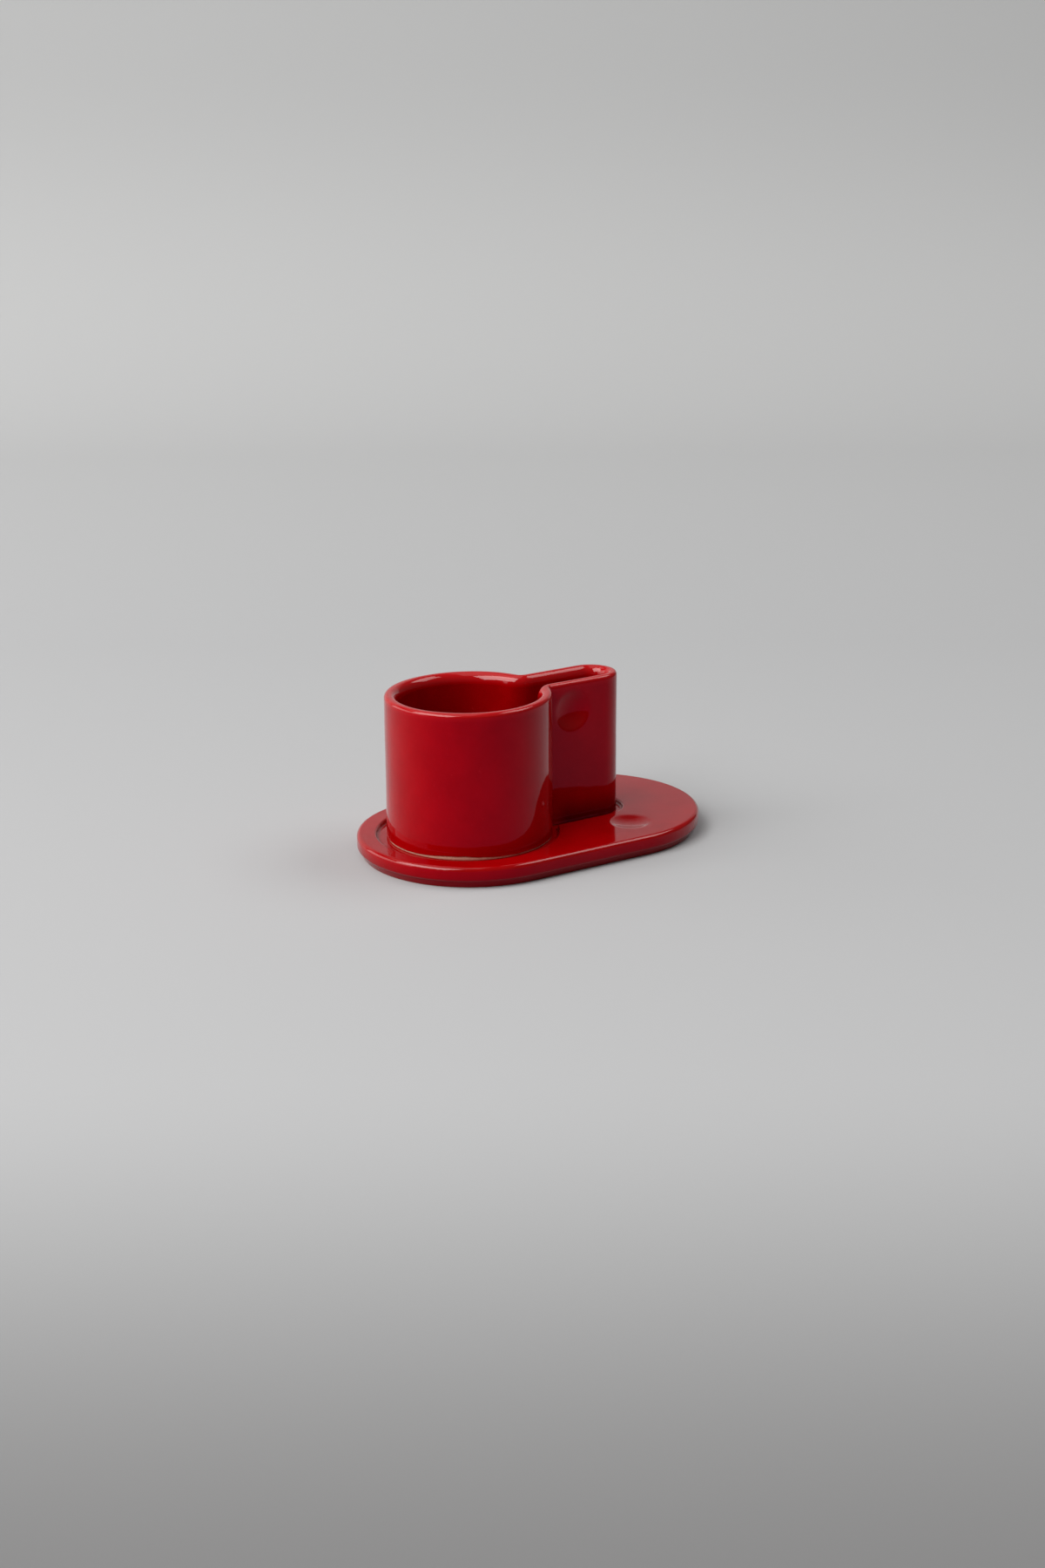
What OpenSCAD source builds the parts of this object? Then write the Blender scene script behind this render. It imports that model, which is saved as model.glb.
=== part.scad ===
// Espresso cup with a hollow fin handle, standing in the seat of its pill-shaped saucer.
// Millimetres. The origin is the middle of the saucer's underside, on the table.
// +Z is up, and the handle points along +X. The near side, with the dimples, faces -Y.

/* [Cup] */
// Outer radius of the cup's round body
cup_r = 30; // [27:0.5:34]
// Height of the cup from its foot to its rim
cup_h = 53.5; // [48:0.5:70]
// Thickness of the bowl's wall
bowl_wall_t = 5; // [4:0.1:6]
// Thickness of the handle's walls and its round end
wall_t = 4.4; // [3.6:0.1:5]
// Thickness of the cup's floor
floor_t = 5; // [4:0.1:7]
// Radius of the rounding on the two edges of the rim
rim_r = 2; // [1:0.1:2.2]
// Radius of the cove between the floor and the wall inside
cove_r = 3; // [1.5:0.1:3.5]

/* [Handle] */
// Distance from the cup's axis to the outer end of the handle
handle_reach = 62.5; // [58:0.5:72]
// Thickness of the handle over both of its walls
handle_w = 19.3; // [17:0.1:22]
// Radius of the upright corner inside, where the bowl opens into the handle
throat_r = 9; // [5:0.5:12]

/* [Cup foot] */
// Width of the ring that the cup stands on
foot_ring_w = 5; // [4.6:0.1:7]
// Depth of the hollow under the cup, inside that ring
foot_hollow = 0.8; // [0.4:0.1:1.5]
// Radius of the rounding on the foot's outer edge
foot_r = 0.8; // [0.4:0.1:1.5]

/* [Dimples] */
// Diameter of each thumb dimple at the surface
dimple_d = 14.7; // [12:0.1:18]
// Depth of each thumb dimple
dimple_depth = 1.5; // [0.8:0.1:2]
// Height from the handle dimple's middle to the rim
handle_dimple_drop = 10.9; // [10:0.1:30]
// Distance from the handle dimple's middle to the handle's outer end
handle_dimple_in = 24.1; // [18:0.1:26]
// Distance from the saucer dimple's middle to the saucer's right end
saucer_dimple_in = 39.4; // [30:0.1:60]
// Distance from the saucer dimple's middle to the saucer's near side
saucer_dimple_side = 17.6; // [11:0.1:18]

/* [Saucer] */
// Thickness of the saucer, from the table to its top
saucer_h = 7.9; // [7:0.1:12]
// Width of the saucer's land beside the seat
side_land = 9; // [7:0.5:16]
// Width of the saucer's land behind the round end of the seat
back_land = 7; // [5:0.5:16]
// Length of the saucer's shelf beyond the handle end of the seat
front_shelf = 28.5; // [20:0.5:50]
// Radius of the rounding on the saucer's top edge
top_edge_r = 1.6; // [0.8:0.1:2.5]
// Radius of the rounding on the saucer's lower edge
lower_edge_r = 0.6; // [0.4:0.1:1.4]

/* [Seat] */
// Gap between the cup and the wall of its seat, with the cup in the middle
seat_gap = 3; // [1.5:0.1:4]
// Depth of the seat below the saucer's top
seat_depth = 1.6; // [1:0.1:2.5]
// Radius of the tip of the two tongues beside the handle's root
tongue_r = 1.5; // [0.8:0.1:3]

/* [Saucer foot] */
// Height of the undercut round the saucer's lower edge
undercut_h = 2.7; // [1:0.1:3]
// How far the undercut goes in under the edge, at its top
undercut_top_in = 0.9; // [0.6:0.1:1]
// How far it goes in at the table, as the foot's wall leans
undercut_in = 1.9; // [1:0.1:4]
// Width of the ring that the saucer stands on
saucer_ring_w = 7; // [5:0.5:10]
// Depth of the hollow under the saucer, inside that ring
saucer_hollow = 1.2; // [0.6:0.1:2]

/* [Hidden] */

// Facets to a full turn, and to each quarter of an edge rounding
$fn = 128;
quarter_steps = 8;
// Overrun of a cut past the face that it opens
cut_over = 1;
// How far the throat's rounding laps the walls that it runs into
throat_lap = 0.05;
// How far the throat's cut reaches past its post, and how far it reaches in, as shares of the post
throat_reach_share = 1.05;
throat_in_share = 0.9;
// Most that a rounding takes of the wall at the rim, and of the slot at the floor
rim_round_share = 0.48;
cove_round_share = 0.8;
// Most that the rounding on the saucer's lower edge takes of the undercut's width at its top
lower_round_share = 0.9;
// Length of the block that a tongue's rounding is cut from, as a share of its radius
tongue_block_share = 3;
// Where the cup stands in its seat, off the middle, as shares of the gap along X and Y
stand_shares = [0.33, 0.05];

// Handle and bowl: half thickness, the bowl's radius, the slot's half width, the round end's axis
handle_half = handle_w / 2;
bowl_r = cup_r - bowl_wall_t;
slot_half = handle_half - wall_t;
handle_end_x = handle_reach - handle_half;
// Roundings that can't be wider than the wall, the slot or the undercut that carries them
rim_round = min(rim_r, wall_t * rim_round_share);
cove_round = min(cove_r, slot_half * cove_round_share);
lower_round = min(lower_edge_r, undercut_top_in * lower_round_share);
// Seat: the cup's outline, grown by the gap
seat_r = cup_r + seat_gap;
seat_half = handle_half + seat_gap;
// Saucer: its outline follows the seat and the lands round it
saucer_half_w = seat_r + side_land;
saucer_l = back_land + seat_r + handle_reach + seat_gap + front_shelf;
saucer_half_l = saucer_l / 2;
saucer_end_x = saucer_half_l - saucer_half_w;
seat_x = back_land + seat_r - saucer_half_l;
seat_z = saucer_h - seat_depth;
// Axis of the cup where it stands
cup_x = seat_x + seat_gap * stand_shares[0];
cup_y = seat_gap * stand_shares[1];
// Radius of the ball that leaves a dimple of the stated width and depth
dimple_ball_r = (pow(dimple_d / 2, 2) + pow(dimple_depth, 2)) / (2 * dimple_depth);

echo(str("Saucer ", saucer_l, " x ", 2 * saucer_half_w, " mm, whole height ", seat_z + cup_h, " mm"));
echo(str("Cup axis at ", cup_x, ", ", cup_y, " mm, foot at ", seat_z, " mm"));

// Points of an arc about c from angle a0 to a1
function arc(c, r, a0, a1, steps = quarter_steps) =
    [for (i = [0 : steps]) let (a = a0 + (a1 - a0) * i / steps) [c.x + r * cos(a), c.y + r * sin(a)]];

// Half section of the cup's outside, from its middle out to the stated half width
function cup_section(half_w) = concat(
    [
        [0, foot_hollow],
        [half_w - foot_ring_w, foot_hollow],
        [half_w - foot_ring_w, 0],
    ],
    arc([half_w - foot_r, foot_r], foot_r, -90, 0),
    arc([half_w - rim_round, cup_h - rim_round], rim_round, 0, 90),
    [[0, cup_h]]
);

// Half section of the space inside, with the cove at the floor and the flare of the rim
function hollow_section(half_w) = concat(
    [[0, floor_t]],
    arc([half_w - cove_round, floor_t + cove_round], cove_round, -90, 0),
    arc([half_w + rim_round, cup_h - rim_round], rim_round, 180, 90),
    [[half_w + rim_round, cup_h + cut_over], [0, cup_h + cut_over]]
);

// Section of the saucer from its middle out to its edge, with the foot ring and the undercut
function saucer_section(half_w) = concat(
    [
        [0, saucer_hollow],
        [half_w - undercut_in - saucer_ring_w, saucer_hollow],
        [half_w - undercut_in - saucer_ring_w, 0],
        [half_w - undercut_in, 0],
        [half_w - undercut_top_in, undercut_h],
    ],
    arc([half_w - lower_round, undercut_h + lower_round], lower_round, -90, 0),
    arc([half_w - top_edge_r, saucer_h - top_edge_r], top_edge_r, 0, 90),
    [[0, saucer_h]]
);

// A half disc at the far end of the handle or of the seat
module half_disc(r, h) {
    rotate_extrude(angle = 180, start = -90)
        square([r, h]);
}

// A half section run both sides of the X axis from one x to another
module fin_run(section, from_x, to_x) {
    for (side = [0, 1])
        mirror([0, side, 0])
            translate([from_x, 0, 0])
                rotate([90, 0, 90])
                    linear_extrude(to_x - from_x)
                        polygon(section);
}

// A half section turned through the half circle of the handle's end
module fin_end(section) {
    translate([handle_end_x, 0, 0])
        rotate_extrude(angle = 180, start = -90)
            polygon(section);
}

// The cup's outside: a round body, and a fin that starts inside the body's wall
module cup_outside() {
    mid_wall_r = cup_r - bowl_wall_t / 2;
    rotate_extrude()
        polygon(cup_section(cup_r));
    fin_run(cup_section(handle_half), sqrt(pow(mid_wall_r, 2) - pow(handle_half, 2)), handle_end_x);
    fin_end(cup_section(handle_half));
}

// The space inside: the bowl, and the slot that opens off it into the handle
module cup_inside() {
    rotate_extrude()
        polygon(hollow_section(bowl_r));
    fin_run(hollow_section(slot_half), 0, handle_end_x);
    fin_end(hollow_section(slot_half));
    for (side = [0, 1])
        mirror([0, side, 0])
            throat_rounding();
}

// What rounds the upright corner between the bowl and the slot on one side
// A post with a rounded top and a coved foot stands where the corner's clay is kept
module throat_rounding() {
    post_at = bowl_r + throat_r - throat_lap;
    post_y = slot_half + throat_r - throat_lap;
    post_x = sqrt(pow(post_at, 2) - pow(post_y, 2));
    post_foot_r = throat_r + cove_round;
    cut_reach = post_foot_r * throat_reach_share;
    difference() {
        translate([0, 0, floor_t])
            linear_extrude(cup_h + cut_over - floor_t)
                polygon([
                    [post_x, post_y],
                    [post_x, post_y] * (1 - cut_reach / post_at),
                    [post_x - cut_reach * throat_in_share, post_y - cut_reach],
                    [post_x, post_y - cut_reach],
                ]);
        translate([post_x, post_y, 0])
            rotate_extrude()
                polygon(concat(
                    [[0, floor_t]],
                    arc([post_foot_r, floor_t + cove_round], cove_round, 270, 180),
                    arc([throat_r - rim_round, cup_h - rim_round], rim_round, 0, 90),
                    [[0, cup_h]]
                ));
    }
}

// The ball that presses a dimple into a face at z = 0, from above
module dimple_ball() {
    translate([0, 0, dimple_ball_r - dimple_depth])
        sphere(r = dimple_ball_r);
}

// The cup about its own axis, standing on z = 0
module cup_at_axis() {
    difference() {
        cup_outside();
        cup_inside();
        translate([handle_reach - handle_dimple_in, -handle_half, cup_h - handle_dimple_drop])
            rotate([90, 0, 0])
                dimple_ball();
    }
}

// The cup, standing in its seat
module cup() {
    color("firebrick")
        translate([cup_x, cup_y, seat_z])
            cup_at_axis();
}

// What rounds the tip of the tongue on one side of the handle's root
module tongue_rounding(h) {
    tip_y = seat_half + tongue_r;
    tip_x = sqrt(pow(seat_r + tongue_r, 2) - pow(tip_y, 2));
    tip_angle = atan2(tip_y, tip_x);
    linear_extrude(h)
        polygon(concat(
            arc([tip_x, tip_y], tongue_r, 180 + tip_angle, 270),
            [
                [tip_x, seat_half - tongue_r],
                [tip_x - tongue_r * tongue_block_share, seat_half - tongue_r],
            ]
        ));
}

// The space that the seat leaves in the saucer's top
module seat_cut() {
    cut_h = seat_depth + cut_over;
    translate([seat_x, 0, seat_z]) {
        cylinder(r = seat_r, h = cut_h);
        translate([0, -seat_half, 0])
            cube([handle_end_x, 2 * seat_half, cut_h]);
        translate([handle_end_x, 0, 0])
            half_disc(seat_half, cut_h);
        for (side = [0, 1])
            mirror([0, side, 0])
                tongue_rounding(cut_h);
    }
}

// The saucer's pill-shaped slab
module saucer_slab() {
    for (side = [0, 1])
        mirror([side, 0, 0])
            translate([saucer_end_x, 0, 0])
                rotate_extrude(angle = 180, start = -90)
                    polygon(saucer_section(saucer_half_w));
    for (side = [0, 1])
        mirror([0, side, 0])
            translate([-saucer_end_x, 0, 0])
                rotate([90, 0, 90])
                    linear_extrude(2 * saucer_end_x)
                        polygon(saucer_section(saucer_half_w));
}

// The saucer, with the cup's seat and a dimple in its top
module saucer() {
    color("firebrick")
        difference() {
            saucer_slab();
            seat_cut();
            translate([saucer_half_l - saucer_dimple_in, saucer_dimple_side - saucer_half_w, saucer_h])
                dimple_ball();
        }
}

cup();
saucer();
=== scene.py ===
import math
import bmesh
import bpy
from mathutils import Matrix, Vector, noise
from mathutils.geometry import delaunay_2d_cdt


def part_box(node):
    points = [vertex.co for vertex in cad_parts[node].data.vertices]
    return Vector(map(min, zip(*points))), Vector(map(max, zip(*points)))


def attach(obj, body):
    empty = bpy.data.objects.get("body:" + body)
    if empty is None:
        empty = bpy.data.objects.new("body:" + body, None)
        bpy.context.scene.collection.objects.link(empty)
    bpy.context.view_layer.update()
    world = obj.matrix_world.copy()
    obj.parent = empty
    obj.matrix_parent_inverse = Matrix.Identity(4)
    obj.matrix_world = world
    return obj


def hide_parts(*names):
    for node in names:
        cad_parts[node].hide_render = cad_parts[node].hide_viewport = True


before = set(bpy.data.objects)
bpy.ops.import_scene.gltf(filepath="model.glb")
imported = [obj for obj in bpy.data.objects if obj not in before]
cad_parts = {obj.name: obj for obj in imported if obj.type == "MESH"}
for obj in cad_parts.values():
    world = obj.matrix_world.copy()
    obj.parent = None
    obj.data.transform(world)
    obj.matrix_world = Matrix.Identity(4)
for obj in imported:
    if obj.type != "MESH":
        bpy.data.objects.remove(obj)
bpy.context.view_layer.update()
print("frame loaded:", sorted(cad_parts))

mm = 0.001
quarterTurn = math.pi / 2
halfTurn = math.pi
fullTurn = 2 * math.pi
touch = 0.01 * mm  # closer than this counts as lying on a face
insideOnly = 1  # the triangulation keeps what is inside its outline
nearlySame = 0.0001  # and takes points this close, in mm, as one
glazed = 0  # material slots on each piece
bare = 1
inside = 2

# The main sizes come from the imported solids
cupLow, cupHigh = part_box("cup")
saucerLow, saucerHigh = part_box("saucer")
bowlRadius = (cupHigh.y - cupLow.y) / 2
cupPlace = Vector((cupLow.x + bowlRadius, (cupLow.y + cupHigh.y) / 2, cupLow.z))
cupHeight = cupHigh.z - cupLow.z
handleReach = cupHigh.x - cupPlace.x
saucerTop = saucerHigh.z


def arcPoints(centreX, centreY, radius, start, end, steps):
    # points along an arc, without the last one
    made = []
    for i in range(steps):
        angle = start + (end - start) * i / steps
        made.append((centreX + radius * math.cos(angle), centreY + radius * math.sin(angle)))
    return made


def linePoints(fromX, toX, y, steps):
    return [(fromX + (toX - fromX) * i / steps, y) for i in range(steps)]


def mirrored(upper):
    # closes an outline whose upper half runs from +X round to -X
    return upper + [(x, -y) for x, y in reversed(upper[1:-1])]


def keyhole(bowl, half, endX, root, steps):
    # a round bowl with a fin along +X, whose roots are rounded by the root radius
    rootY = half + root
    rootX = math.sqrt((bowl + root) ** 2 - rootY ** 2)
    rootAngle = math.atan2(rootY, rootX)
    upper = arcPoints(endX, 0, half, 0, quarterTurn, steps["tip"])
    upper += linePoints(endX, rootX, half, steps["side"])
    upper += arcPoints(rootX, rootY, root, -quarterTurn, rootAngle - halfTurn, steps["root"])
    upper += arcPoints(0, 0, bowl, rootAngle, halfTurn, steps["bowl"])
    upper.append((-bowl, 0))
    return mirrored(upper)


def pill(halfLength, halfWidth, steps):
    endX = halfLength - halfWidth
    upper = arcPoints(endX, 0, halfWidth, 0, quarterTurn, steps["arc"])
    upper += linePoints(endX, -endX, halfWidth, steps["side"])
    upper += arcPoints(-endX, 0, halfWidth, quarterTurn, halfTurn, steps["arc"])
    upper.append((-halfLength, 0))
    return mirrored(upper)


def quarterAngles(steps):
    # the angles over a quarter turn, both its ends included
    return [quarterTurn * i / steps for i in range(steps + 1)]


def levelsBetween(low, high, spacing):
    # even levels from low up to high, without high itself
    count = max(1, round((high - low) / spacing))
    return [low + (high - low) * i / count for i in range(count)]


def clamped(value):
    return min(max(value, 0), 1)


def addRing(bm, outline, height):
    # height is one number, or a list with one for each point
    heights = height if isinstance(height, list) else [height] * len(outline)
    return [bm.verts.new((x, y, z)) for (x, y), z in zip(outline, heights)]


def addFace(bm, corners, finish=0):
    face = bm.faces.new(corners)
    face.material_index = finish
    face.smooth = True


def joinRings(bm, first, second, finish):
    for i in range(len(first)):
        addFace(bm, (first[i - 1], first[i], second[i], second[i - 1]), finish)


def stackRings(bm, rings, finish):
    for lower, upper in zip(rings, rings[1:]):
        joinRings(bm, lower, upper, finish)


def fillAcross(bm, ring, rows, finish):
    # fills a flat mirrored outline with rows of quads from side to side
    last = len(ring) // 2
    columns = [[ring[0]]]
    for i in range(1, last):
        near, far = ring[i], ring[-i]
        between = [bm.verts.new(near.co.lerp(far.co, k / rows)) for k in range(1, rows)]
        columns.append([near, *between, far])
    columns.append([ring[last]])
    for left, right in zip(columns, columns[1:]):
        for k in range(rows):
            corners = []
            for column, row in ((left, k), (left, k + 1), (right, k + 1), (right, k)):
                corner = column[min(row, len(column) - 1)]
                if corner not in corners:
                    corners.append(corner)
            addFace(bm, corners, finish)


def fillBetween(bm, outer, inner, extras, isHole, finish):
    # triangles between two flat rings, through the extra points; worked out in mm
    rim = outer + inner
    level = rim[0].co.z
    places = [Vector((v.co.x / mm, v.co.y / mm)) for v in rim]
    places += [Vector((x / mm, y / mm)) for x, y in extras]
    edges = [(i, (i + 1) % len(outer)) for i in range(len(outer))]
    edges += [(len(outer) + i, len(outer) + (i + 1) % len(inner)) for i in range(len(inner))]
    spots, _, faces, sources, _, _ = delaunay_2d_cdt(places, edges, [], insideOnly, nearlySame)
    made = []
    for spot, source in zip(spots, sources):
        first = min(source) if source else len(rim)
        made.append(rim[first] if first < len(rim) else bm.verts.new((spot.x * mm, spot.y * mm, level)))
    for face in faces:
        middle = sum((spots[i] for i in face), Vector((0, 0))) * mm / len(face)
        if not isHole(middle.x, middle.y):
            addFace(bm, [made[i] for i in face], finish)


def hollowUnder(bm, outlineAt, ringIn, shape, rows):
    # the sunk middle of a foot: its ceiling, then the rounded step down to the ring
    depth = shape["footHollow"]
    (firstGrow, firstShare), *others = shape["hollowEdge"]
    rings = [addRing(bm, outlineAt(firstGrow - ringIn), depth * firstShare)]
    fillAcross(bm, rings[0], rows, glazed)
    rings += [addRing(bm, outlineAt(grow - ringIn), depth * share) for grow, share in others]
    stackRings(bm, rings, glazed)
    return rings[-1]


def dimpleDepth(dimple, distance):
    # a shallow ball, with its edge softened as the glaze softens it
    ball = dimple["depth"] * (1 - (distance / dimple["radius"]) ** 2)
    farOut = -50  # past here the softened edge is nothing
    return dimple["lip"] * math.log(1 + math.exp(max(ball / dimple["lip"], farOut)))


def pressDimple(vertices, dimple, centre, inward):
    for v in vertices:
        offset = v.co - centre
        across = (offset - inward * offset.dot(inward)).length
        v.co += inward * dimpleDepth(dimple, across)


# Waves of two sizes over each skin, sunk so that they lie nearly all below the true surface
waveShape = {
    "slowShare": 0.7,
    "quickShare": 0.3,
    "quickness": 2.3,
    "sink": 0.5,
    "fadeHeight": 3 * mm,  # they die away this near to the foot
}


def addWaves(bm, shape, footZ):
    bm.normal_update()
    seed = shape["waveSeed"]
    moves = []
    for v in bm.verts:
        place = v.co / shape["waveLength"] + Vector((seed, seed, seed))
        slow = waveShape["slowShare"] * noise.noise(place)
        quick = waveShape["quickShare"] * noise.noise(place * waveShape["quickness"])
        fade = clamped((v.co.z - footZ) / waveShape["fadeHeight"])
        moves.append(v.normal * (slow + quick - waveShape["sink"]) * shape["waves"] * fade)
    for v, move in zip(bm.verts, moves):
        v.co += move


def makePiece(name, bm, finishes, body, node):
    bmesh.ops.recalc_face_normals(bm, faces=bm.faces[:])
    mesh = bpy.data.meshes.new(name)
    bm.to_mesh(mesh)
    bm.free()
    for finish in finishes:
        mesh.materials.append(finish)
    piece = bpy.data.objects.new(name, mesh)
    bpy.context.scene.collection.objects.link(piece)
    evenNormals = piece.modifiers.new("evenNormals", "WEIGHTED_NORMAL")
    evenNormals.mode = "FACE_AREA"
    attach(piece, body)
    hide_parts(node)
    print(name, "made with", len(mesh.polygons), "faces")


cupShape = {
    "wall": 4.4 * mm,
    "bowlWall": 5.0 * mm,  # the bowl's wall is a little stouter than the handle's
    "handleHalf": 9.65 * mm,
    "outerRoot": 1.2 * mm,  # fillet where the handle leaves the bowl
    "throat": 9 * mm,  # rounding inside, where the bowl opens into the handle
    "rimOuter": (1.1 * mm, 1.25 * mm),  # width and height of the rim's outer rounding
    "rimInner": (2.5 * mm, 3.6 * mm),  # the inner one is drawn out
    "rimCrown": 0.2 * mm,  # between them the rim is nearly flat
    "rimCrest": 1.8 * mm,  # how far in from the outer face it is highest
    "rimLean": 0.40 * mm,  # how much lower the rim is at the bowl's round end
    "floor": 5 * mm,
    "cove": 3 * mm,
    "footFlare": 0.1 * mm,
    "footRing": 5 * mm,
    "footHollow": 0.8 * mm,
    # how far out from the ring's inner edge, and the share of the hollow's depth there
    "hollowEdge": ((-0.6 * mm, 1), (-0.2 * mm, 0.92), (-0.04 * mm, 0.7),
                   (0, 0.4), (0.08 * mm, 0.12), (0.25 * mm, 0)),
    "footRound": 0.5 * mm,
    "standMargin": 0.3 * mm,  # the foot is flat up to this near to its rounding
    "clayRoundShare": 0.7,  # shares of the clay's height that its rounding and its wall reach
    "clayTopShare": 0.95,
    "glazeThick": 0.25 * mm,
    # the glaze's lower edge: how far out from the wall, and how far up from the clay
    "glazeEdge": ((-0.10 * mm, 0), (0.02 * mm, 0.07 * mm), (0.06 * mm, 0.2 * mm),
                  (0.04 * mm, 0.4 * mm), (0, 0.8 * mm)),
    "glazeLine": 0.85 * mm,  # height of the glaze's lower edge above the foot
    "handleLine": 0.15 * mm,  # and the same on the handle, where it wasn't wiped
    "handleBlend": (4 * mm, 6 * mm),  # how far inside the bowl's side the change starts, and its length
    "glazeWander": 0.12 * mm,
    "wanderLength": 2.6 * mm,
    "raggedShare": 0.5,  # finer wandering on top of that
    "raggedness": 3.1,
    "wipedRise": 0.8 * mm,  # the foot was wiped higher on one side
    "wipedAzimuth": -38,  # degrees from the near side, minus to the left
    "wipedWidth": 22,
    "waves": 0.10 * mm,  # unevenness of a cast and dipped wall
    "waveLength": 17 * mm,
    "waveSeed": 3.7,
}

handleDimple = {
    "radius": 7.35 * mm,
    "depth": 1.5 * mm,
    "lip": 0.14 * mm,  # softness of its edge
    "fromRim": 10.9 * mm,
    "fromEnd": 24.1 * mm,
}

# How finely the cup's skin is divided
cupMesh = {
    "outline": {"tip": 20, "side": 46, "root": 12, "bowl": 76},
    "floorRows": 14,
    "claySteps": 6,
    "rimSteps": 10,
    "crownSteps": 5,
    "coveSteps": 8,
    "firstLevel": 3.4 * mm,
    "wallSpacing": 2.1 * mm,
    "insideSpacing": 2 * mm,
    "dimpleSpacing": 0.7 * mm,  # the wall is finer from this margin below the dimple
    "dimpleMargin": 2 * mm,
}


def cupOutside(grow, height):
    # the cup's outer outline at a height, let out by grow
    flare = cupShape["footFlare"] * (1 - height / cupHeight)
    half = cupShape["handleHalf"] + grow
    endX = handleReach - cupShape["handleHalf"]
    root = cupShape["outerRoot"] - grow
    return keyhole(bowlRadius + flare + grow, half, endX, root, cupMesh["outline"])


def cupInside(grow):
    bowl = bowlRadius - cupShape["bowlWall"] + grow
    half = cupShape["handleHalf"] - cupShape["wall"] + grow
    endX = handleReach - cupShape["handleHalf"]
    return keyhole(bowl, half, endX, cupShape["throat"] - grow, cupMesh["outline"])


def rimProfile():
    # pairs of how far in from the outer face, and how far below the cup's height
    shape = cupShape
    outerWidth, outerHeight = shape["rimOuter"]
    innerWidth, innerHeight = shape["rimInner"]
    pairs = []
    for angle in quarterAngles(cupMesh["rimSteps"]):
        pairs.append((outerWidth * (1 - math.cos(angle)), outerHeight * (1 - math.sin(angle))))
    flat = shape["wall"] - outerWidth - innerWidth
    for i in range(1, cupMesh["crownSteps"]):
        pairs.append((outerWidth + flat * i / cupMesh["crownSteps"], 0))
    for angle in quarterAngles(cupMesh["rimSteps"]):
        across = shape["wall"] - innerWidth * (1 - math.sin(angle))
        pairs.append((across, innerHeight * (1 - math.cos(angle))))
    half = shape["wall"] / 2
    return [(across, drop + shape["rimCrown"] * ((across - shape["rimCrest"]) / half) ** 2)
            for across, drop in pairs]


def clayHeights(outline):
    # how high the bare clay reaches at each point, uneven as a wiped foot leaves it
    shape = cupShape
    blendIn, blendLength = shape["handleBlend"]
    made = []
    for x, y in outline:
        place = Vector((x, y, 0)) / shape["wanderLength"]
        wander = noise.noise(place) + shape["raggedShare"] * noise.noise(place * shape["raggedness"])
        azimuth = math.degrees(math.atan2(x, -y))
        wiped = math.exp(-((azimuth - shape["wipedAzimuth"]) / shape["wipedWidth"]) ** 2)
        onHandle = clamped((x - bowlRadius + blendIn) / blendLength)
        height = shape["glazeLine"] + (shape["handleLine"] - shape["glazeLine"]) * onHandle
        made.append(height + wiped * shape["wipedRise"] + wander * shape["glazeWander"])
    return made


def addClayFoot(bm, ringEdge, edge):
    # bare clay from the ring up to the glaze's edge
    shape = cupShape
    skin = shape["glazeThick"]
    footRound = shape["footRound"]
    clay = [ringEdge, addRing(bm, cupOutside(-footRound - skin - shape["standMargin"], 0), 0)]
    for angle in quarterAngles(cupMesh["claySteps"]):
        grow = -skin - footRound * (1 - math.sin(angle))
        rises = [shape["clayRoundShare"] * z * (1 - math.cos(angle)) for z in edge]
        clay.append(addRing(bm, cupOutside(grow, 0), rises))
    clay.append(addRing(bm, cupOutside(-skin, 0), [shape["clayTopShare"] * z for z in edge]))
    stackRings(bm, clay, bare)
    return clay[-1]


def addRimRings(bm, rim, innerRim):
    # the outline turns from the outer face's into the inner one's over the rim
    outerRim = cupOutside(0, cupHeight)
    rings = []
    for across, drop in rim:
        share = across / cupShape["wall"]
        outline = [(a[0] + (b[0] - a[0]) * share, a[1] + (b[1] - a[1]) * share)
                   for a, b in zip(outerRim, innerRim)]
        rings.append(addRing(bm, outline, cupHeight - drop))
    return rings


def leanRim(bm):
    # fired ware isn't quite level: the rim comes down a little, away from the handle
    half = cupShape["handleHalf"]
    for v in bm.verts:
        away = (handleReach - half - v.co.x) / (handleReach + bowlRadius - half)
        v.co.z *= 1 - max(away, 0) * cupShape["rimLean"] / cupHeight


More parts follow.
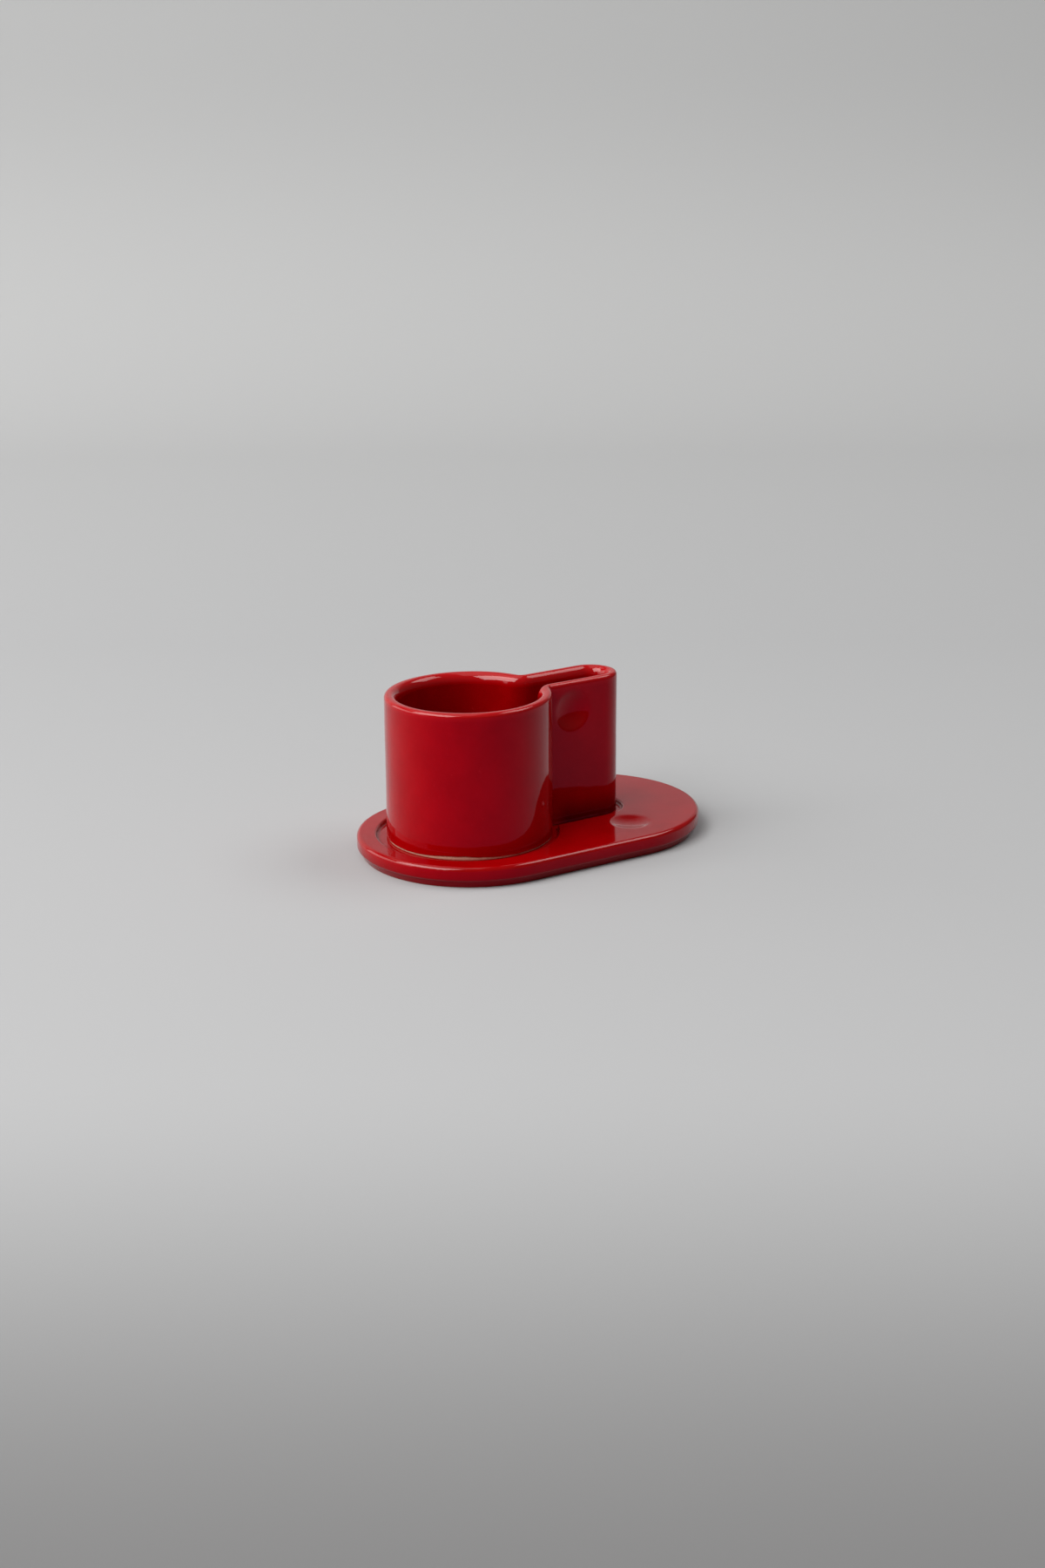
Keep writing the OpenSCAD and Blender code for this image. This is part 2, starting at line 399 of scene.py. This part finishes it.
def buildCup(finishes):
    shape = cupShape
    bm = bmesh.new()
    ringEdge = hollowUnder(bm, lambda grow: cupOutside(grow, 0), shape["footRing"], shape,
                           cupMesh["floorRows"])
    edge = clayHeights(cupOutside(0, 0))
    clayTop = addClayFoot(bm, ringEdge, edge)

    # The glaze starts in a small rounded edge, then the wall goes up to the rim
    wall = [clayTop]
    for grow, rise in shape["glazeEdge"]:
        wall.append(addRing(bm, cupOutside(grow, 0), [z + rise for z in edge]))
    rim = rimProfile()
    rimStart = cupHeight - rim[0][1]
    dimpleLow = cupHeight - handleDimple["fromRim"] - handleDimple["radius"] - cupMesh["dimpleMargin"]
    levels = levelsBetween(cupMesh["firstLevel"], dimpleLow, cupMesh["wallSpacing"])
    levels += levelsBetween(dimpleLow, rimStart, cupMesh["dimpleSpacing"])
    for level in levels:
        wall.append(addRing(bm, cupOutside(0, level), level))

    # Over the rim, then the wall goes down inside
    innerRim = cupInside(0)
    wall += addRimRings(bm, rim, innerRim)
    rimEnd = len(wall)
    coveStart = shape["floor"] + shape["cove"]
    for level in reversed(levelsBetween(coveStart, cupHeight - rim[-1][1], cupMesh["insideSpacing"])):
        wall.append(addRing(bm, innerRim, level))
    for angle in quarterAngles(cupMesh["coveSteps"])[1:]:
        inset = shape["cove"] * (1 - math.cos(angle))
        wall.append(addRing(bm, cupInside(-inset), coveStart - shape["cove"] * math.sin(angle)))
    stackRings(bm, wall[:rimEnd], glazed)
    # the inside takes the darker copy of the glaze, painted shade
    stackRings(bm, wall[rimEnd - 1:], inside)
    fillAcross(bm, wall[-1], cupMesh["floorRows"], inside)

    # The thumb dimple in the handle's near face
    half = shape["handleHalf"]
    centre = Vector((handleReach - handleDimple["fromEnd"], -half, cupHeight - handleDimple["fromRim"]))
    nearFace = [v for v in bm.verts if abs(v.co.y + half) < touch and v.co.x > bowlRadius]
    pressDimple(nearFace, handleDimple, centre, Vector((0, 1, 0)))

    leanRim(bm)
    bmesh.ops.translate(bm, verts=bm.verts[:], vec=cupPlace)
    addWaves(bm, shape, cupPlace.z)
    makePiece("glazedCup", bm, finishes, "cup", "cup")


saucerShape = {
    "seatGap": 3 * mm,
    "seatDepth": 1.6 * mm,
    "seatLip": 0.8 * mm,
    "seatFillet": 0.7 * mm,
    "tongue": 1.5 * mm,
    "backLand": 7 * mm,
    "topRound": 1.6 * mm,
    "bottomRound": 0.6 * mm,
    "bottomRise": 1.0 * mm,  # the lower edge turns in slowly
    "underGap": 2.7 * mm,  # height of the undercut
    # from the foot wall's top: how far out, and how far below the undercut's top
    "underEdge": ((0.04 * mm, 0.1 * mm), (0.12 * mm, 0.03 * mm), (0.2 * mm, 0)),
    "footIn": 1.9 * mm,
    "footTopIn": 0.9 * mm,  # the foot's wall leans out to the edge above it
    "footWallEnds": (0.25 * mm, 0.2 * mm),  # heights of the rounded ends, below and above it
    # from the foot's outer edge: how far out, and how far up
    "footEdge": ((-0.7 * mm, 0), (-0.5 * mm, 0), (-0.3 * mm, 0.03 * mm),
                 (-0.15 * mm, 0.09 * mm), (-0.06 * mm, 0.17 * mm)),
    "footRing": 7 * mm,
    "footHollow": 1.2 * mm,
    # how far out from the ring's inner edge, and the share of the hollow's depth there
    "hollowEdge": ((-0.8 * mm, 1), (-0.25 * mm, 0.93), (-0.05 * mm, 0.75),
                   (0, 0.45), (0.08 * mm, 0.14), (0.25 * mm, 0)),
    "waves": 0.07 * mm,
    "waveLength": 16 * mm,
    "waveSeed": 8.1,
}

saucerDimple = {
    "radius": 7.35 * mm,
    "depth": 1.2 * mm,
    "lip": 0.14 * mm,
    "fromEnd": 39.4 * mm,
    "fromSide": 17.6 * mm,
}

# How finely the saucer's skin is divided
saucerMesh = {
    "seat": {"tip": 22, "side": 20, "root": 10, "bowl": 80},
    "pill": {"arc": 58, "side": 38},
    "footRows": 18,
    "seatRows": 22,
    "footWallSteps": 6,
    "lowerSteps": 8,
    "upperSteps": 10,
    "seatSteps": 6,
    "sideSpacing": 0.8 * mm,
    "margin": 0.3 * mm,  # flat faces start and end in a ring this near to a rounding
    "topMargin": 0.35 * mm,
    "grid": 1.7 * mm,  # spacing of the points over the top
    "gridRowShare": 0.87,  # and of their rows, as a share of that
    "gridFromEdge": 1.3 * mm,
    "gridFromSeat": 1.6 * mm,
    "dimpleReach": 3 * mm,  # rings of finer points reach this far past the dimple
    "dimpleRings": 0.55 * mm,
    "dimpleAlong": 0.8 * mm,  # spacing along a ring
    "dimpleFewest": 6,
    "dimpleTurn": 0.3,  # each ring is turned on by this angle
}


def seatOutline(grow):
    # the cup's own outline, let out by the gap and by grow, in the saucer's frame
    shape = saucerShape
    gap = shape["seatGap"] + grow
    seatX = saucerLow.x + shape["backLand"] + bowlRadius + shape["seatGap"]
    half = cupShape["handleHalf"] + gap
    endX = handleReach - cupShape["handleHalf"]
    outline = keyhole(bowlRadius + gap, half, endX, shape["tongue"] - grow, saucerMesh["seat"])
    return [(x + seatX, y) for x, y in outline]


def saucerOutline(grow):
    return pill(saucerHigh.x + grow, saucerHigh.y + grow, saucerMesh["pill"])


def inSeat(x, y, margin):
    # true inside the seat, let out by the margin
    gap = saucerShape["seatGap"] + margin
    x -= saucerLow.x + saucerShape["backLand"] + bowlRadius + saucerShape["seatGap"]
    half = cupShape["handleHalf"] + gap
    endX = handleReach - cupShape["handleHalf"]
    inBowl = math.hypot(x, y) < bowlRadius + gap
    inFin = 0 < x < endX and abs(y) < half
    return inBowl or inFin or math.hypot(x - endX, y) < half


def inSaucer(x, y, margin):
    endX = saucerHigh.x - saucerHigh.y
    return math.hypot(max(abs(x) - endX, 0), y) < saucerHigh.y - margin


def topPoints(dimpleX, dimpleY):
    # where the saucer's top has its points: rings round the dimple, and an even grid elsewhere
    parts = saucerMesh
    spacing = parts["grid"]
    rowShare = parts["gridRowShare"]
    fineReach = saucerDimple["radius"] + parts["dimpleReach"]
    points = [(dimpleX, dimpleY)]
    rings = round(fineReach / parts["dimpleRings"])
    for ring in range(1, rings + 1):
        radius = fineReach * ring / rings
        count = max(parts["dimpleFewest"], round(fullTurn * radius / parts["dimpleAlong"]))
        start = parts["dimpleTurn"] * ring
        points += arcPoints(dimpleX, dimpleY, radius, start, start + fullTurn, count)
    rows = round(saucerHigh.y / (spacing * rowShare))
    columns = round(saucerHigh.x / spacing)
    for row in range(-rows, rows + 1):
        for column in range(-columns, columns + 1):
            x = (column + (row % 2) / 2) * spacing
            y = row * spacing * rowShare
            if math.hypot(x - dimpleX, y - dimpleY) > fineReach + spacing / 2:
                points.append((x, y))
    fromEdge = saucerShape["topRound"] + parts["gridFromEdge"]
    return [(x, y) for x, y in points
            if inSaucer(x, y, fromEdge) and not inSeat(x, y, parts["gridFromSeat"])]


def addSaucerSide(bm, start):
    # the foot's wall, the undercut, the lower edge, the side and the upper edge
    shape = saucerShape
    parts = saucerMesh
    gap = shape["underGap"]
    low = shape["bottomRound"]
    rise = shape["bottomRise"]
    high = shape["topRound"]
    footIn = shape["footIn"]
    topIn = shape["footTopIn"]
    lowEnd, highEnd = shape["footWallEnds"]
    side = [start]
    for i in range(parts["footWallSteps"] + 1):
        share = i / parts["footWallSteps"]
        outline = saucerOutline(-footIn + (footIn - topIn) * share)
        side.append(addRing(bm, outline, lowEnd + (gap - highEnd - lowEnd) * share))
    for grow, drop in shape["underEdge"]:
        side.append(addRing(bm, saucerOutline(grow - topIn), gap - drop))
    for angle in quarterAngles(parts["lowerSteps"]):
        outline = saucerOutline(-low * (1 - math.sin(angle)))
        side.append(addRing(bm, outline, gap + rise * (1 - math.cos(angle))))
    sideLow = gap + rise + parts["margin"]
    sideHigh = saucerTop - high - parts["margin"]
    for level in levelsBetween(sideLow, sideHigh, parts["sideSpacing"]):
        side.append(addRing(bm, saucerOutline(0), level))
    for angle in quarterAngles(parts["upperSteps"]):
        outline = saucerOutline(-high * (1 - math.cos(angle)))
        side.append(addRing(bm, outline, saucerTop - high * (1 - math.sin(angle))))
    side.append(addRing(bm, saucerOutline(-high - parts["topMargin"]), saucerTop))
    stackRings(bm, side, glazed)
    return side[-1]


def addSeat(bm):
    # the seat, from its lip down to its floor
    lip = saucerShape["seatLip"]
    fillet = saucerShape["seatFillet"]
    margin = saucerMesh["margin"]
    angles = quarterAngles(saucerMesh["seatSteps"])
    seatZ = saucerTop - saucerShape["seatDepth"]
    seat = [addRing(bm, seatOutline(lip + margin), saucerTop)]
    for angle in angles:
        outline = seatOutline(lip * (1 - math.sin(angle)))
        seat.append(addRing(bm, outline, saucerTop - lip * (1 - math.cos(angle))))
    for angle in angles:
        outline = seatOutline(-fillet * (1 - math.cos(angle)))
        seat.append(addRing(bm, outline, seatZ + fillet * (1 - math.sin(angle))))
    seat.append(addRing(bm, seatOutline(-fillet - margin), seatZ))
    stackRings(bm, seat, glazed)
    fillAcross(bm, seat[-1], saucerMesh["seatRows"], glazed)
    return seat[0]


def buildSaucer(finishes):
    shape = saucerShape
    bm = bmesh.new()
    footIn = shape["footIn"]
    ringEdge = hollowUnder(bm, saucerOutline, footIn + shape["footRing"], shape, saucerMesh["footRows"])

    # Bare ring that it stands on
    foot = [ringEdge]
    for grow, height in shape["footEdge"]:
        foot.append(addRing(bm, saucerOutline(grow - footIn), height))
    stackRings(bm, foot, bare)

    sideTop = addSaucerSide(bm, foot[-1])
    seatTop = addSeat(bm)

    # The top between them, with its dimple
    lip = shape["seatLip"]
    dimpleX = saucerHigh.x - saucerDimple["fromEnd"]
    dimpleY = saucerLow.y + saucerDimple["fromSide"]
    points = topPoints(dimpleX, dimpleY)
    fillBetween(bm, sideTop, seatTop, points, lambda x, y: inSeat(x, y, lip), glazed)
    top = [v for v in bm.verts if abs(v.co.z - saucerTop) < touch]
    pressDimple(top, saucerDimple, Vector((dimpleX, dimpleY, saucerTop)), Vector((0, 0, -1)))
    addWaves(bm, shape, 0)
    makePiece("glazedSaucer", bm, finishes, "saucer", "saucer")


def addNode(tree, kind, inputs=None, **settings):
    node = tree.nodes.new(kind)
    for name, value in settings.items():
        setattr(node, name, value)
    for name, value in (inputs or {}).items():
        node.inputs[name].default_value = value
    return node


def newMaterial(name):
    material = bpy.data.materials.new(name)
    material.use_nodes = True
    tree = material.node_tree
    shader = tree.nodes["Principled BSDF"]
    return material, tree, shader


def addNoise(tree, place, look):
    # look holds the noise's scale, detail and roughness
    scale, detail, roughness = look
    inputs = {"Scale": scale, "Detail": detail, "Roughness": roughness}
    node = addNode(tree, "ShaderNodeTexNoise", inputs)
    tree.links.new(place, node.inputs["Vector"])
    return node.outputs["Fac"]


def addBump(tree, shader, source, strength, distance):
    node = addNode(tree, "ShaderNodeBump", {"Strength": strength, "Distance": distance})
    tree.links.new(source, node.inputs["Height"])
    tree.links.new(node.outputs["Normal"], shader.inputs["Normal"])


def splitPlace(tree, kind):
    # the X, Y and Z of the surface's place or of its normal, both the object's own
    node = addNode(tree, "ShaderNodeSeparateXYZ")
    tree.links.new(addNode(tree, "ShaderNodeTexCoord").outputs[kind], node.inputs["Vector"])
    return node.outputs


def rampBetween(tree, ends, source, course="LINEAR"):
    # 0 at the first end and beyond, 1 at the second
    inputs = {"From Min": ends[0], "From Max": ends[1]}
    node = addNode(tree, "ShaderNodeMapRange", inputs, clamp=True, interpolation_type=course)
    tree.links.new(source, node.inputs["Value"])
    return node.outputs["Result"]


def mixColour(tree, share, first, second):
    # the mix node's colour sockets share their names with others, so they go by number
    node = addNode(tree, "ShaderNodeMix", data_type="RGBA")
    for socket, value in ((node.inputs[0], share), (node.inputs[6], first), (node.inputs[7], second)):
        if isinstance(value, (int, float, tuple)):
            socket.default_value = value
        else:
            tree.links.new(value, socket)
    return node.outputs[2]


redGlazeLook = {
    "deep": (0.30, 0.0002, 0.0008, 1),
    "bright": (0.36, 0.0004, 0.0016, 1),
    "blotches": (55, 4, 0.6),  # scale, detail and roughness of the drift between them
    "blotchEnds": (0.35, 0.65),
    "fleck": (0.40, 0.008, 0.010, 1),
    "flecks": (900, 2, 0.5),
    "fleckEnds": (0.68, 0.86),
    "rimPaler": (0.42, 0.004, 0.006, 1),  # a paler red towards the rim
    "rimPalerBelow": (3.2 * mm, 0.8 * mm),  # it turns paler between these depths below the rim
    "insideShade": 0.84,  # painted shade: the glaze is darker inside the bowl
    "handleFootShade": (0.06, 0.0002, 0.0006, 1),  # painted shade, low on the handle near its foot
    "handleShadeAbove": (10 * mm, -1 * mm),  # between these heights above the cup's foot
    "handleShadeBeyond": 6 * mm,  # and in full from this far beyond the bowl
    "saucerSideShade": (0.20, 0.0002, 0.0006, 1),  # painted shade, darkening down the saucer's side
    "saucerShadeHeights": (6.4 * mm, 2 * mm),  # between these heights
    "wallShine": (1, 0.08, 0.24, 1),  # tint of the shine on walls and flat stretches
    "crownShine": (1, 0.55, 0.58, 1),  # on the cup's level rim
    "edgeShine": (1, 0.90, 0.88, 1),  # and on rounded edges, where the glaze is thin
    "risingEnds": (0.10, 0.35),  # how far the surface faces up, from wall to edge
    "levelEnds": (0.94, 0.99),  # and from there to level
    "underEnds": (-0.52, -0.80),  # and how far down, under an edge
    "ripples": (260, 2, 0.5),
    "rippleBump": (0.25, 0.04 * mm),  # strength and depth
    "roughness": 0.055,
    "ior": 1.5,
}


def paintLowShade(tree, base, place, onCup):
    # painted shade: darkens the colour low on the handle, near its foot, and down the saucer's side
    look = redGlazeLook
    if not onCup:
        down = rampBetween(tree, look["saucerShadeHeights"], place["Z"])
        return mixColour(tree, down, base, look["saucerSideShade"])
    heights = [cupLow.z + height for height in look["handleShadeAbove"]]
    down = rampBetween(tree, heights, place["Z"])
    handleStart = cupPlace.x + bowlRadius
    onHandle = rampBetween(tree, (handleStart, handleStart + look["handleShadeBeyond"]), place["X"])
    both = addNode(tree, "ShaderNodeMath", operation="MULTIPLY")
    tree.links.new(down, both.inputs[0])
    tree.links.new(onHandle, both.inputs[1])
    return mixColour(tree, both.outputs[0], base, look["handleFootShade"])


def glazeColour(tree, shade, onCup):
    look = redGlazeLook
    where = addNode(tree, "ShaderNodeTexCoord").outputs["Object"]
    place = splitPlace(tree, "Object")
    tones = [tuple(c * shade for c in look[key][:3]) + (1,) for key in ("deep", "bright")]
    blotches = rampBetween(tree, look["blotchEnds"], addNoise(tree, where, look["blotches"]))
    base = mixColour(tree, blotches, *tones)
    flecks = rampBetween(tree, look["fleckEnds"], addNoise(tree, where, look["flecks"]))
    base = mixColour(tree, flecks, base, look["fleck"])
    # the red turns paler towards the rim
    rimHeights = [cupHigh.z - depth for depth in look["rimPalerBelow"]]
    base = mixColour(tree, rampBetween(tree, rimHeights, place["Z"]), base, look["rimPaler"])
    return paintLowShade(tree, base, place, onCup)


def glazeShine(tree, onCup):
    # red on walls and level stretches, nearly white on rounded edges, between them on the cup's rim
    look = redGlazeLook
    facing = splitPlace(tree, "Normal")["Z"]
    rising = rampBetween(tree, look["risingEnds"], facing)
    shine = mixColour(tree, rising, look["wallShine"], look["edgeShine"])
    level = rampBetween(tree, look["levelEnds"], facing)
    shine = mixColour(tree, level, shine, look["crownShine" if onCup else "wallShine"])
    under = rampBetween(tree, look["underEnds"], facing)
    return mixColour(tree, under, shine, look["edgeShine"])


def makeRedGlaze(name, shade, onCup):
    look = redGlazeLook
    material, tree, shader = newMaterial(name)
    tree.links.new(glazeColour(tree, shade, onCup), shader.inputs["Base Color"])
    tree.links.new(glazeShine(tree, onCup), shader.inputs["Specular Tint"])
    shader.inputs["Roughness"].default_value = look["roughness"]
    shader.inputs["IOR"].default_value = look["ior"]
    where = addNode(tree, "ShaderNodeTexCoord").outputs["Object"]
    addBump(tree, shader, addNoise(tree, where, look["ripples"]), *look["rippleBump"])
    return material


bareClayLook = {
    "pale": (0.68, 0.40, 0.29, 1),
    "dark": (0.50, 0.25, 0.17, 1),
    "grain": (2200, 3, 0.6),
    "grainEnds": (0.35, 0.7),
    "grainBump": (0.5, 0.1 * mm),
    "roughness": 0.85,
}


def makeBareClay():
    look = bareClayLook
    material, tree, shader = newMaterial("bareClay")
    where = addNode(tree, "ShaderNodeTexCoord").outputs["Object"]
    grain = addNoise(tree, where, look["grain"])
    base = mixColour(tree, rampBetween(tree, look["grainEnds"], grain), look["dark"], look["pale"])
    tree.links.new(base, shader.inputs["Base Color"])
    shader.inputs["Roughness"].default_value = look["roughness"]
    addBump(tree, shader, grain, *look["grainBump"])
    return material


# Azimuths are seen from above, 0 in front of the near side; minus is to the left
cameraSetup = {
    "azimuth": -32.58,
    "elevation": 17.62,
    "roll": -0.37,
    "distance": 0.7921,
    "aim": (-5.86 * mm, -3.92 * mm, 22.65 * mm),
    "lens": 50,
    "clip": (0.01, 20),
}

# A pale sweep of paper, square to the camera. Lengths are in metres, and places along the floor
# are counted from the object, away from the camera
stageShape = {
    "halfWidth": 2.6,
    "front": 1.8,
    "rows": (-0.5, 0, 0.4),  # where the floor is divided, and across it
    "columnShares": (0, 0.4, 0.7, 1),
    "back": 0.9,  # where the floor starts to bend up into the wall
    "bend": 0.7,
    "bendSteps": 24,
    "height": 1.5,
    "edgeBeside": 0.312,  # how far to the right of the object the table ends
    "edgeSlant": 0.47,  # and how far that edge runs in towards the camera
    # painted shade: the floor darkens towards the camera
    "near": (0.20, 0.198, 0.197, 1),
    "colour": (0.455, 0.455, 0.457, 1),
    "nearShadeEnds": (-0.45, -0.2),  # where the painted shade goes from near to colour
    # painted light: the paper is paler further back
    "far": (0.60, 0.60, 0.595, 1),
    "farLightEnds": (0.3, 1.5),
    # painted shade: the paper darkens going up the wall
    "wall": (0.49, 0.49, 0.487, 1),
    "wallShadeEnds": (0, 0.3),  # heights over which the wall's painted shade comes in
    "shade": (0.05, 0.05, 0.05, 1),  # the top of the wall, out of the light
    "shadeEnds": (0.90, 1.8),
    "shadeSlant": 0.35,  # it comes down lower to the right
    "roughness": 0.9,
    "gloss": 0.1,
}


def makePaper():
    shape = stageShape
    material, tree, shader = newMaterial("palePaper")
    place = splitPlace(tree, "Object")
    # painted shade towards the camera and up the wall, painted light further back
    tone = mixColour(tree, rampBetween(tree, shape["nearShadeEnds"], place["Y"], "SMOOTHSTEP"),
                     shape["near"], shape["colour"])
    tone = mixColour(tree, rampBetween(tree, shape["farLightEnds"], place["Y"]), tone, shape["far"])
    onWall = rampBetween(tree, shape["wallShadeEnds"], place["Z"], "SMOOTHSTEP")
    tone = mixColour(tree, onWall, tone, shape["wall"])
    slanted = addNode(tree, "ShaderNodeMath", {1: shape["shadeSlant"]}, operation="MULTIPLY_ADD")
    tree.links.new(place["X"], slanted.inputs[0])
    tree.links.new(place["Z"], slanted.inputs[2])
    shaded = rampBetween(tree, shape["shadeEnds"], slanted.outputs[0])
    tone = mixColour(tree, shaded, tone, shape["shade"])
    tree.links.new(tone, shader.inputs["Base Color"])
    shader.inputs["Roughness"].default_value = shape["roughness"]
    shader.inputs["Specular IOR Level"].default_value = shape["gloss"]
    return material


def buildStage():
    # floor, bend and wall in one sheet
    shape = stageShape
    profile = [(away, 0) for away in (-shape["front"], *shape["rows"], shape["back"])]
    for angle in quarterAngles(shape["bendSteps"])[1:]:
        away = shape["back"] + shape["bend"] * math.sin(angle)
        profile.append((away, shape["bend"] * (1 - math.cos(angle))))
    profile.append((shape["back"] + shape["bend"], shape["height"]))
    bm = bmesh.new()
    rows = []
    left = -shape["halfWidth"]
    for away, height in profile:
        right = min(shape["edgeBeside"] + shape["edgeSlant"] * away, shape["halfWidth"])
        row = [(left + (right - left) * share, away, height) for share in shape["columnShares"]]
        rows.append([bm.verts.new(place) for place in row])
    for near, far in zip(rows, rows[1:]):
        for i in range(len(near) - 1):
            addFace(bm, (near[i], near[i + 1], far[i + 1], far[i]))
    mesh = bpy.data.meshes.new("sweep")
    bm.to_mesh(mesh)
    bm.free()
    mesh.materials.append(makePaper())
    sweep = bpy.data.objects.new("sweep", mesh)
    sweep.rotation_euler.z = math.radians(cameraSetup["azimuth"])
    bpy.context.scene.collection.objects.link(sweep)


def directionTo(azimuth, elevation):
    around = math.radians(azimuth)
    up = math.radians(elevation)
    return Vector((math.sin(around) * math.cos(up), -math.cos(around) * math.cos(up), math.sin(up)))


def placeCamera():
    setup = cameraSetup
    camera = bpy.data.cameras.new("camera")
    camera.lens = setup["lens"]
    camera.clip_start, camera.clip_end = setup["clip"]
    holder = bpy.data.objects.new("camera", camera)
    back = directionTo(setup["azimuth"], setup["elevation"])
    roll = Matrix.Rotation(math.radians(setup["roll"]), 3, "Z")
    turn = (-back).to_track_quat("-Z", "Y").to_matrix() @ roll
    holder.rotation_euler = turn.to_euler()
    holder.location = Vector(setup["aim"]) + back * setup["distance"]
    bpy.context.scene.collection.objects.link(holder)
    bpy.context.scene.camera = holder


# Soft boxes round the object, in metres; glow is how bright each one looks
lights = {
    "keyBox": {"azimuth": -87, "elevation": 44, "distance": 2.2, "size": (2.1, 1.4), "glow": 5.6},
    "lowBox": {"azimuth": -124, "elevation": 17, "distance": 2.2, "size": (2.6, 1.1), "glow": 1.9},
    "sideBox": {"azimuth": 72, "elevation": 54, "distance": 2.2, "size": (1.35, 1.0), "glow": 3.3},
    "topBox": {"azimuth": -125, "elevation": 72, "distance": 2.2, "size": (2.4, 2.0), "glow": 0.75},
}
lightAim = (0, 0, 30 * mm)
room = {"colour": (1, 1, 1, 1), "glow": 0.08}


def placeLights():
    for name, setup in lights.items():
        lamp = bpy.data.lights.new(name, "AREA")
        lamp.shape = "RECTANGLE"
        lamp.size, lamp.size_y = setup["size"]
        lamp.energy = setup["glow"] * math.pi * lamp.size * lamp.size_y
        holder = bpy.data.objects.new(name, lamp)
        back = directionTo(setup["azimuth"], setup["elevation"])
        holder.location = Vector(lightAim) + back * setup["distance"]
        holder.rotation_euler = (-back).to_track_quat("-Z", "Y").to_euler()
        bpy.context.scene.collection.objects.link(holder)
    world = bpy.data.worlds.new("room")
    world.use_nodes = True
    background = world.node_tree.nodes["Background"]
    background.inputs["Color"].default_value = room["colour"]
    background.inputs["Strength"].default_value = room["glow"]
    bpy.context.scene.world = world


# The inside glaze is a darker copy, painted shade; the cup's glazes are painted darker low on the
# handle, the saucer's down its side
redGlaze = makeRedGlaze("redGlaze", 1, True)
shadedInsideGlaze = makeRedGlaze("shadedInsideGlaze", redGlazeLook["insideShade"], True)
saucerGlaze = makeRedGlaze("saucerGlaze", 1, False)
bareClay = makeBareClay()
print("finishes made")
buildCup([redGlaze, bareClay, shadedInsideGlaze])
buildSaucer([saucerGlaze, bareClay])
placeCamera()
placeLights()
buildStage()
bpy.context.scene.view_settings.view_transform = "Standard"
print("stage, lights and camera set")
